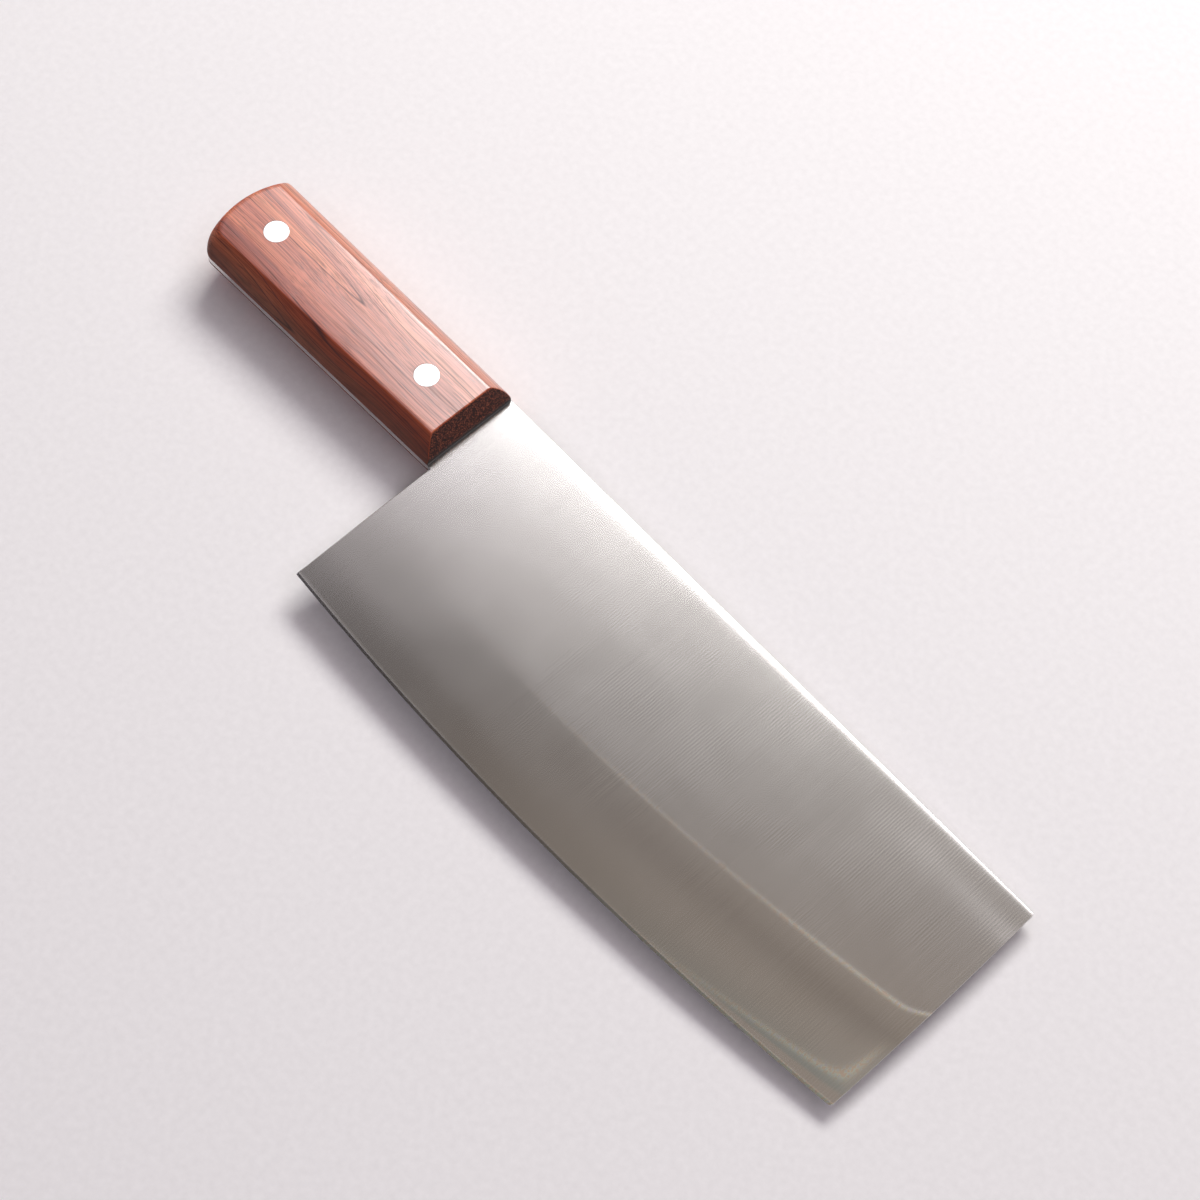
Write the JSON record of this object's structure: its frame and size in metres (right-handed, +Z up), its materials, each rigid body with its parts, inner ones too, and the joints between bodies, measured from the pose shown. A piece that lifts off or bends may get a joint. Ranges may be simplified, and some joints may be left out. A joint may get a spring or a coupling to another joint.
{
  "type": "chinese cleaver",
  "caption": "Broad rectangular kitchen cleaver with a ground steel blade, full tang and riveted wooden handle scales.",
  "frame": {"origin": "middle of the knife's outline, on the outer flat of the lower scale that the knife lies on", "axes": "+X from butt to tip along the knife, +Y from cutting edge to spine, +Z up through the thickness"},
  "size_m": [0.327, 0.089, 0.0226],
  "materials": {
    "blade_steel": "satin, ground across the blade",
    "handle_wood": "oiled satin, dark streaks along the grain",
    "rivet_metal": "bright, ground flush"
  },
  "bodies": {
    "root": {"blade": "blade_steel", "upper_scale": "handle_wood", "lower_scale": "handle_wood", "front_rivet_post": "rivet_metal", "front_rivet_socket": "rivet_metal", "rear_rivet_post": "rivet_metal", "rear_rivet_socket": "rivet_metal"}
  },
  "joints": []
}
